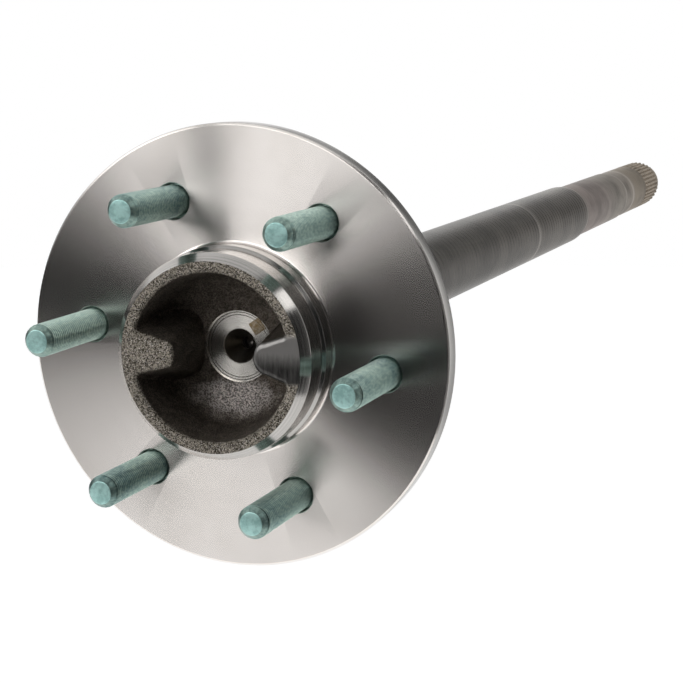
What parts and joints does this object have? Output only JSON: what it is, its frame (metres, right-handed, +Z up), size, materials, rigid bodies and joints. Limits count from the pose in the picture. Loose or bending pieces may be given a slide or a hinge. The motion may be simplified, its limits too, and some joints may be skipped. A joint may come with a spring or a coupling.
{
  "type": "axle shaft",
  "caption": "Rear axle shaft: long stepped steel shaft with a splined end, and a wheel flange with a ribbed hub cup and pressed-in wheel studs.",
  "frame": {"origin": "on the shaft's axis, in the plane of the wheel face, the flat that the wheel bolts against", "axes": "+Y along the shaft from the wheel face to the splined end, +Z up, +X to the right as the wheel face is seen"},
  "size_m": [0.1906, 0.9624, 0.1904],
  "materials": {
    "machined_steel": "turned bright on the flange, as forged and dark in the hub cup, oiled grey on the shaft",
    "stud_coating": "grey-green flake coating over rolled threads, semi-matte"
  },
  "bodies": {
    "root": {"axle_shaft": "machined_steel", "wheel_stud_1": "stud_coating", "wheel_stud_2": "stud_coating", "wheel_stud_3": "stud_coating", "wheel_stud_4": "stud_coating", "wheel_stud_5": "stud_coating", "wheel_stud_6": "stud_coating"}
  },
  "joints": []
}
